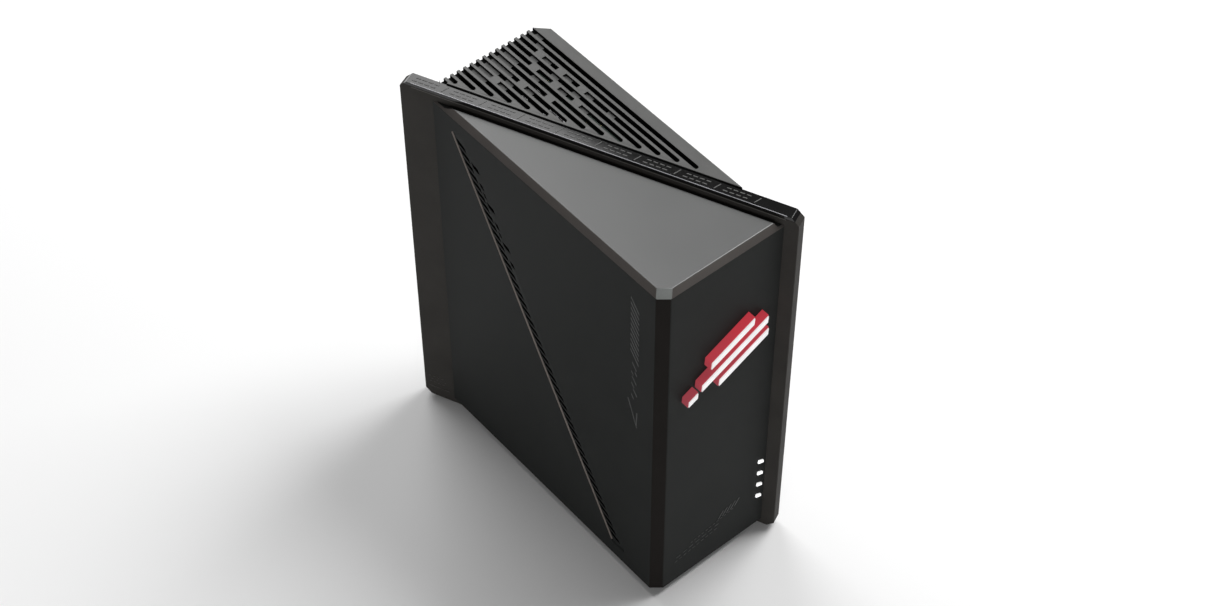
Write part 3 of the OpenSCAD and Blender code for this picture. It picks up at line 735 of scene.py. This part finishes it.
class ROUTER_OT_shells(bpy.types.Operator):
    """Round the edges of the casings, the blade, the grille and the covers, and finish them"""

    bl_idname = "router.shells"
    bl_label = "Casings and blade"

    def execute(self, context):
        shape, colours = context.scene.router_shape, context.scene.router_colours
        wide, fine = shape.edge_round, shape.fine_round
        plastic = moulded("casing plastic", colours.casing, 0.5, SOFT_SHEEN)
        casing = dress("front_casing", plastic, wide, fine)
        top = CASING_HIGH.z
        band_foot = top - BAND_H * MM
        satin = satin_top("satin top", scaled(colours.casing, 0.9))
        # Painted highlight: the sloping band round the top gets a lighter copy of the casing plastic, for the
        # light it catches
        lit_band = moulded("top band", tinted(colours.casing, 2.6, 2.2, 2.1), 0.45)
        # Painted highlight: the lip facets along the vent row are light brown, for the bright line they catch
        lip_highlight = moulded("vent lip", (0.16, 0.135, 0.12), 0.4)
        # Painted shade: the upright corner facet gets a darker copy of the casing plastic
        edge = moulded("corner facet", tinted(colours.casing, 0.55, 0.45, 0.42), 0.5, SOFT_SHEEN)
        faced(casing, satin, lambda n, c: n.z > 0.9 and c.z > top - 1 * MM)
        faced(casing, lit_band, lambda n, c: 0.3 < n.z < 0.9 and c.z > band_foot)
        # Painted highlight: the sloping facet at the top corner is seven times lighter than the casing
        # plastic
        tip_highlight = moulded("corner facet top", scaled(colours.casing, 7.0), 0.4)
        faced(casing, tip_highlight, lambda n, c: 0.3 < n.z < 0.9 and n.x < -0.3 and n.y < -0.3 and c.z > band_foot)
        faced(casing, lip_highlight, lambda n, c: 0.2 < n.z < 0.6 and n.x < -0.5 and n.y < -0.4 and c.z < band_foot)
        # Painted shade on the upright corner facet
        faced(casing, edge, lambda n, c: abs(n.z) < 0.1 and n.x < -0.5 and n.y < -0.5)
        # Painted shade: the walls inside the vent slots are near black, for the shade in them
        shade = moulded("vent walls", scaled(colours.casing, 0.08), 0.6, SOFT_SHEEN)
        face, inner, foot = CASING_LOW.x + 0.1 * MM, CASING_LOW.x + 2.2 * MM, CASING_LOW.z + 3 * MM
        faced(casing, shade, lambda n, c: abs(n.x) < 0.2 and face < c.x < inner and c.z > foot)
        dress("rear_casing", moulded("rear plastic", colours.casing, 0.5, SOFT_SHEEN), wide, fine)
        grille = dress("top_grille", moulded("grille plastic", colours.grille, 0.36), fine, fine * 0.8)
        plate = GRILLE_TOP
        # Painted shade: the walls below the grille's face are near black, for the shade in the slots
        slot_shade = moulded("slot walls", scaled(colours.grille, 0.12), 0.6, SOFT_SHEEN)
        # Painted shade: the floors of the shallow pockets are darker than the grille, for the shade in them
        pocket_shade = moulded("slot pockets", scaled(colours.grille, 0.6), 0.55)
        faced(grille, slot_shade, lambda n, c: c.z < plate - 0.3 * MM)
        faced(grille, pocket_shade, lambda n, c: n.z > 0.9 and plate - 1.5 * MM < c.z < plate - 0.3 * MM)
        dress("blade_frame", moulded("blade plastic", colours.blade, 0.5, SOFT_SHEEN), wide, fine)
        dress("blade_cap", gloss("gloss trim", colours.trim), fine, fine)
        cover = moulded("cover plastic", scaled(colours.casing, 0.7), 0.6)
        for node in ("front_base_cover", "rear_base_cover"):
            dress(node, cover, fine, fine)
        sole = rubber("foot rubber", (0.02, 0.02, 0.02))
        for node in ("rear_pads", "front_foot"):
            dress(node, sole, fine, fine)
        zinc = metal("zinc screws", (0.6, 0.6, 0.6), 0.35, (1.0, 1.0, 1.0))
        for node in ("base_screws", "frame_screws", "board_screws", "heatsink_screws"):
            paint(node, zinc)
        return {"FINISHED"}


class ROUTER_OT_emblem(bpy.types.Operator):
    """Light the emblem on the front face"""

    bl_idname = "router.emblem"
    bl_label = "Lit emblem"

    def execute(self, context):
        shape, colours = context.scene.router_shape, context.scene.router_colours
        fine = shape.fine_round
        red = glowing_wall("red lens", (0.3, 0.02, 0.03), (0.3, 0.07, 0.09), colours.glow, 0.6)
        dress("emblem_lens", red, fine, fine * 0.6)
        dress("emblem_caps", lit("white caps", (0.6, 0.6, 0.6), (0.9, 0.87, 0.88), 0.55), fine, fine)
        paint("emblem_reflector", moulded("reflector plastic", (0.8, 0.8, 0.8), 0.4))
        paint("emblem_board", circuit_board("emblem board", (0.02, 0.06, 0.035)))
        paint("emblem_leds", lit("emblem diodes", (0.85, 0.75, 0.4), (1.0, 0.9, 0.8), 0.6))
        return {"FINISHED"}


class ROUTER_OT_status_lights(bpy.types.Operator):
    """Light the four status lights on the front face"""

    bl_idname = "router.status_lights"
    bl_label = "Status lights"

    def execute(self, context):
        fine = context.scene.router_shape.fine_round
        dress("status_light_pipe", lit("light pipe", (0.9, 0.92, 0.93), (1.0, 1.0, 1.0), 0.9), fine, fine)
        paint("status_board", circuit_board("status board", (0.02, 0.06, 0.035)))
        return {"FINISHED"}


class ROUTER_OT_cap_marks(bpy.types.Operator):
    """Raise a rim and a bead painted light as edge highlights, and a plain pattern of dashes and slashes
    along the blade's cap
    """

    bl_idname = "router.cap_marks"
    bl_label = "Marks on the blade cap"

    def execute(self, context):
        shape, colours = context.scene.router_shape, context.scene.router_colours
        height, top = shape.mark_height, CAP_HIGH.z
        turn = facing((0, 0, 1), BLADE_DIR)
        length = CAP_ENDS[1] - CAP_ENDS[0]
        middle = (CAP_ENDS[0] + CAP_ENDS[1]) / 2
        still = Vector((0, 0, MM))
        # Painted highlight: the thin raised rim is light grey, for the light line along the cap's edge
        rim = gloss("bright rim", (0.3, 0.3, 0.32), 0.25)
        bar = skewed_bar((length - 7.2) * MM, 0.3 * MM, height, chamfer=0.08 * MM)
        row("cap_rim", bar, 1, blade_point(middle, 0.2, top), still, turn, rim)
        side = facing(-BLADE_NORMAL, BLADE_DIR)
        # Painted highlight: the bead under the cap is a lighter copy of the blade plastic, for the light line
        # at the joint
        bead_highlight = moulded("blade bead", scaled(colours.blade, 2.5), 0.4)
        bar = skewed_bar((length - 8.0) * MM, 0.4 * MM, height, chamfer=0.1 * MM)
        place = blade_point(middle, 0.0, CAP_LOW.z - 0.4 * MM)
        row("cap_bead", bar, 1, place, still, side, bead_highlight)

        matt = moulded("raised marks", (0.09, 0.09, 0.088), 0.5)
        flat = facing((0, 0, 1), (1, 0, 0))
        bar = skewed_bar(DASH_L * MM, DASH_W * MM, height, 0.5, chamfer=0.06 * MM)
        line = repeated("dashes", bar, DASH_COUNT, (0, 0, 0), (DASH_STEP * MM, 0, 0), flat)
        apart = DASH_LINES * BLADE_T * MM
        group = repeated("lines", line, 2, (-apart / 4, -apart / 2, 0), (apart / 2, apart, 0), flat)
        start = CAP_ENDS[0] + CAP_MARGIN
        count = int((length - 2 * CAP_MARGIN) / CAP_REPEAT)
        step = CAP_REPEAT * MM * BLADE_DIR
        place = blade_point(start, BLADE_T / 2, top)
        row("cap_dashes", group, count, place, step, turn, matt)
        slash = skewed_bar(DASH_W * MM, SLASH_L * MM, height, 0.5, chamfer=0.06 * MM)
        place = blade_point(start + SLASH_AT, BLADE_T / 2, top)
        row("cap_slashes", slash, count, place, step, turn, matt)
        return {"FINISHED"}


class ROUTER_OT_casing_marks(bpy.types.Operator):
    """Raise the slanted stripes and the small plain marks on the left, front and blade faces"""

    bl_idname = "router.casing_marks"
    bl_label = "Marks on the casing"

    def execute(self, context):
        shape, colours = context.scene.router_shape, context.scene.router_colours
        height = shape.mark_height
        still = Vector((0, 0, MM))
        paint_left = moulded("side marks", scaled(colours.casing, 1.15), 0.4)
        skew = -math.tan(STRIPE_SLOPE)
        turn = facing((-1, 0, 0), (0, -math.cos(STRIPE_SLOPE), -math.sin(STRIPE_SLOPE)))
        stripe = skewed_bar(STRIPE_L * MM, 0.8 * MM, height, skew, chamfer=0.15 * MM)
        place, step = left_point(STRIPE_Y, STRIPE_Z), Vector((0, 0, STRIPE_STEP * MM))
        row("side_stripes", stripe, shape.stripe_count, place, step, turn, paint_left)
        for k, (y, z, length) in enumerate(TICKS):
            bar = skewed_bar(length * MM, 0.7 * MM, height, skew, chamfer=0.15 * MM)
            row(f"side_tick_{k + 1}", bar, 1, left_point(y, z), still, turn, paint_left)
        for k, (y, z, length, slope) in enumerate(ARROW):
            slope = math.radians(slope)
            bar = skewed_bar(length * MM, 0.7 * MM, height, chamfer=0.15 * MM)
            turn = facing((-1, 0, 0), (0, -math.cos(slope), -math.sin(slope)))
            row(f"side_arrow_{k + 1}", bar, 1, left_point(y, z), still, turn, paint_left)

        paint_front = moulded("front marks", scaled(colours.casing, 1.1), 0.42)
        run = Vector((math.cos(FRONT_RISE), 0, math.sin(FRONT_RISE)))
        turn = facing((0, -1, 0), run)
        for k, (lift, offset, length, count, pitch) in enumerate(FRONT_ROWS):
            bar = skewed_bar(length * MM, 0.55 * MM, height, 0.6, chamfer=0.08 * MM)
            rise = lift + offset * math.tan(FRONT_RISE)
            place = front_point(FRONT_START[0] + offset, FRONT_START[1] + rise)
            row(f"front_dashes_{k + 1}", bar, count, place, pitch * MM * run, turn, paint_front)
        slash = skewed_bar(5.2 * MM, 0.6 * MM, height, chamfer=0.08 * MM)
        turn = facing((0, -1, 0), (0.55, 0, 0.84))
        place, step = front_point(*SLASHES_START), SLASH_STEP * MM * run
        row("front_slashes", slash, 5, place, step, turn, paint_front)

        paint_blade = moulded("blade marks", scaled(colours.blade, 1.15), 0.42)
        low = BLADE_FOOT
        turn = facing(-BLADE_NORMAL, BLADE_DIR)
        rib = skewed_bar(11.0 * MM, 0.5 * MM, height, chamfer=0.1 * MM)
        place = blade_point(-7.5, 0, low + 6.5 * MM)
        row("blade_rib", rib, 1, place, still, turn, paint_blade)
        for k, (offset, lift, length) in enumerate(((0.0, 10.0, 1.2), (1.1, 12.0, 0.7), (-0.4, 14.0, 1.0))):
            bar = skewed_bar(length * MM, 0.45 * MM, height, 0.5, chamfer=0.1 * MM)
            place = blade_point(-12.0 + offset, 0, low + lift * MM)
            row(f"blade_ticks_{k + 1}", bar, 4, place, 2.2 * MM * BLADE_DIR, turn, paint_blade)
        return {"FINISHED"}


class ROUTER_OT_ports(bpy.types.Operator):
    """Finish the sockets, the switch and the buttons on the rear face"""

    bl_idname = "router.ports"
    bl_label = "Ports, switch and buttons"

    def execute(self, context):
        shape, colours = context.scene.router_shape, context.scene.router_colours
        fine = shape.fine_round
        black = moulded("black plastic", (0.012, 0.012, 0.012), 0.45)
        keys = moulded("button plastic", (0.03, 0.03, 0.03), 0.4)
        shield = metal("plated shield", (0.62, 0.62, 0.63), 0.32, (1.0, 10.0, 1.0))
        dress("port_panel", moulded("panel plastic", scaled(colours.casing, 1.1), 0.55), fine, fine)
        for node in JACKS:
            dress(node, shield, fine, fine)
        dress("usb_jack", shield, fine, fine * 0.8)
        dress("usb_tongue", moulded("blue insulator", (0.03, 0.12, 0.5), 0.35), fine, fine)
        for node in ("power_inlet", "power_switch_body"):
            dress(node, black, fine, fine)
        dress("power_rocker", keys, fine * 1.3, fine)
        for node in ("wps_button", "led_button", "reset_button"):
            dress(node, keys, fine * 1.3, fine * 1.3)
        paint("power_inlet_pin", metal("nickel pin", (0.7, 0.68, 0.64), 0.25))
        paint("jack_contacts", metal("gold contacts", (0.83, 0.6, 0.25), 0.25))
        self.frames()
        self.signs()
        return {"FINISHED"}

    def frames(self):
        """Raised frames round the network sockets: blue for the outside line, grey for the others."""
        blue = moulded("outside line frame", (0.02, 0.1, 0.42), 0.4)
        grey = moulded("local line frames", (0.11, 0.11, 0.11), 0.45)
        turn = facing((0, 1, 0), (0, 0, 1))
        first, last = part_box(JACKS[1]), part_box(JACKS[-1])
        step = Vector((0, 0, (last[0].z - first[0].z) / (len(JACKS) - 2)))
        for name, node, count, material in (
            ("wan_frame", JACKS[0], 1, blue),
            ("lan_frames", JACKS[1], len(JACKS) - 1, grey),
        ):
            low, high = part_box(node)
            ring = framed_window(high.z - low.z, high.x - low.x, 0.7 * MM, 0.5 * MM)
            place = Vector(((low.x + high.x) / 2, PANEL_FACE, (low.z + high.z) / 2))
            row(name, ring, count, place, step, turn, material)

    def signs(self):
        """Plain signs beside the sockets: one to four dots for the local lines, a bar for the outside one."""
        pale = moulded("printed signs", (0.55, 0.55, 0.55), 0.5)
        turn = facing((0, 1, 0), (0, 0, 1))
        for k, node in enumerate(JACKS):
            low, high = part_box(node)
            count = max(k, 1)
            middle = (low.z + high.z) / 2
            place = Vector((low.x - SIGN_GAP * MM, PANEL_FACE, middle + (count - 1) * DOT_PITCH / 2 * MM))
            dot = skewed_bar((SIGN_BAR if k == 0 else DOT) * MM, DOT * MM, 0.06 * MM)
            row(f"sign_{node}", dot, count, place, Vector((0, 0, -DOT_PITCH * MM)), turn, pale)


class ROUTER_OT_inside(bpy.types.Operator):
    """Finish the boards, chips, coolers, antennas and leads, and add the small parts on the main board"""

    bl_idname = "router.inside"
    bl_label = "Inner parts"

    def execute(self, context):
        tin = metal("tinned sheet", (0.66, 0.66, 0.67), 0.34)
        epoxy = moulded("chip epoxy", (0.02, 0.02, 0.021), 0.38, grain=0.12, depth=0.008)
        coax = rubber("coaxial sheath", (0.015, 0.015, 0.015), 0.5)
        alloy = metal("extruded aluminium", (0.7, 0.7, 0.71), 0.4, (1.0, 1.0, 0.06))
        copper = metal("printed copper", (0.75, 0.45, 0.25), 0.4, (1.0, 1.0, 1.0))
        green = circuit_board("main board resist", (0.015, 0.05, 0.03))
        finishes = {
            tin: ("radio_cans", "button_switches"),
            epoxy: ("processor", "memory_chips", "network_chip", "network_transformers"),
            coax: ("lead_upper", "lead_lower", "lead_front", "lead_rear"),
            alloy: ("finned_heatsink", "heat_spreader"),
            copper: ("antenna_upper", "antenna_lower", "antenna_front", "antenna_rear"),
            green: ("main_board",),
            rubber("light lead sheath", (0.45, 0.03, 0.03), 0.5): ("lead_lights",),
            rubber("thermal pad", (0.35, 0.42, 0.55), 0.8): ("thermal_pads",),
            moulded("pressed powder", (0.08, 0.08, 0.085), 0.65, depth=0.03): ("power_coils",),
            metal("drawn cans", (0.6, 0.62, 0.65), 0.3, (1.0, 6.0, 6.0)): ("capacitors",),
            metal("plated lead sockets", (0.8, 0.62, 0.3), 0.3): ("lead_sockets",),
        }
        for material, nodes in finishes.items():
            for node in nodes:
                paint(node, material)
        self.small_parts()
        return {"FINISHED"}

    def small_parts(self):
        """Rows of chip resistors and capacitors soldered to the main board's inner face."""
        low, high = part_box("main_board")
        ceramic = moulded("ceramic chips", (0.32, 0.24, 0.16), 0.4, grain=0.1)
        dark = moulded("resistor chips", (0.03, 0.03, 0.035), 0.35, grain=0.1)
        turn = facing((-1, 0, 0), (0, 1, 0))
        for k, (y, z, count, dy, dz) in enumerate(BOARD_ROWS):
            chip = skewed_bar(1.6 * MM, 0.8 * MM, 0.55 * MM, chamfer=0.1 * MM)
            place = Vector((low.x, low.y + y * MM, low.z + z * MM))
            step = Vector((0, dy * MM, dz * MM))
            row(f"board_chips_{k + 1}", chip, count, place, step, turn, (ceramic, dark)[k % 2])


class ROUTER_OT_stage(bpy.types.Operator):
    """Set the pale floor, the soft lamps and the camera"""

    bl_idname = "router.stage"
    bl_label = "Floor, lamps and camera"

    def softbox(self, name, azimuth, elevation, distance, width, height, radiance, aim):
        """A rectangular lamp that looks at aim from a compass direction, 0 along +Y and 90 along +X."""
        turn, rise = math.radians(azimuth), math.radians(elevation)
        way = Vector((math.sin(turn) * math.cos(rise), math.cos(turn) * math.cos(rise), math.sin(rise)))
        lamp = bpy.data.lights.new(name, "AREA")
        lamp.shape = "RECTANGLE"
        lamp.size, lamp.size_y = width, height
        lamp.energy = radiance * math.pi * width * height
        holder = bpy.data.objects.new(name, lamp)
        bpy.context.scene.collection.objects.link(holder)
        holder.location = aim + way * distance
        holder.rotation_euler = way.to_track_quat("Z", "Y").to_euler()

    def execute(self, context):
        stage = context.scene.router_stage
        middle = Vector((0, 0, (CAD_BOX[0][2] + CAD_BOX[1][2]) / 2))
        self.softbox("rear softbox", 12, 48, 1.5, 0.95, 1.1, stage.key, middle)
        self.softbox("side softbox", 98, 56, 1.7, 0.9, 1.0, stage.top, middle)
        self.softbox("front fill", 222, 14, 1.8, 1.2, 0.8, stage.fill, middle)
        world = bpy.data.worlds.new("studio")
        context.scene.world = world
        world.use_nodes = True
        world.node_tree.nodes["Background"].inputs["Color"].default_value = (*[WORLD_GREY] * 3, 1.0)

        floor = bpy.data.meshes.new("floor")
        low = CAD_BOX[0][2]
        corners = [(x * FLOOR_REACH, y * FLOOR_REACH, low) for x, y in CORNERS]
        floor.from_pydata(corners, [], [(0, 1, 2, 3)])
        paper = Finish("floor paper", Roughness=0.9, Specular_IOR_Level=0.1)
        tone = tuple(stage.floor)
        paper.set("Base Color", paper.mixed(paper.noise(60.0), scaled(tone, 0.995), tone))
        floor.materials.append(paper.material)
        linked("floor", floor)

        lens = bpy.data.cameras.new("camera")
        lens.lens = CAMERA_LENS
        lens.sensor_width = 36.0
        lens.clip_start = 0.01
        camera = bpy.data.objects.new("camera", lens)
        bpy.context.scene.collection.objects.link(camera)
        camera.location = CAMERA_AT
        camera.rotation_euler = (math.radians(CAMERA_TILT), 0.0, math.radians(CAMERA_TURN))
        context.scene.camera = camera
        context.scene.view_settings.view_transform = "Standard"
        return {"FINISHED"}


class ROUTER_PT_panel(bpy.types.Panel):
    """Shows a button for each step that builds the router"""

    bl_idname = "ROUTER_PT_panel"
    bl_label = "Upright router"
    bl_space_type = "VIEW_3D"
    bl_region_type = "UI"
    bl_category = "Router"

    def draw(self, context):
        for operator in OPERATORS:
            self.layout.operator(operator.bl_idname)


OPERATORS = (
    ROUTER_OT_stage,
    ROUTER_OT_shells,
    ROUTER_OT_emblem,
    ROUTER_OT_status_lights,
    ROUTER_OT_cap_marks,
    ROUTER_OT_casing_marks,
    ROUTER_OT_ports,
    ROUTER_OT_inside,
)
GROUPS = {"router_shape": RouterShape, "router_colours": RouterColours, "router_stage": RouterStage}


def register():
    for group in GROUPS.values():
        bpy.utils.register_class(group)
    for operator in OPERATORS:
        bpy.utils.register_class(operator)
    bpy.utils.register_class(ROUTER_PT_panel)
    for title, group in GROUPS.items():
        setattr(bpy.types.Scene, title, PointerProperty(type=group))


def unregister():
    for title in GROUPS:
        delattr(bpy.types.Scene, title)
    bpy.utils.unregister_class(ROUTER_PT_panel)
    for operator in reversed(OPERATORS):
        bpy.utils.unregister_class(operator)
    for group in reversed(GROUPS.values()):
        bpy.utils.unregister_class(group)


def main():
    register()
    for operator in OPERATORS:
        package, call = operator.bl_idname.split(".")
        getattr(getattr(bpy.ops, package), call)()


if __name__ == "__main__":
    main()
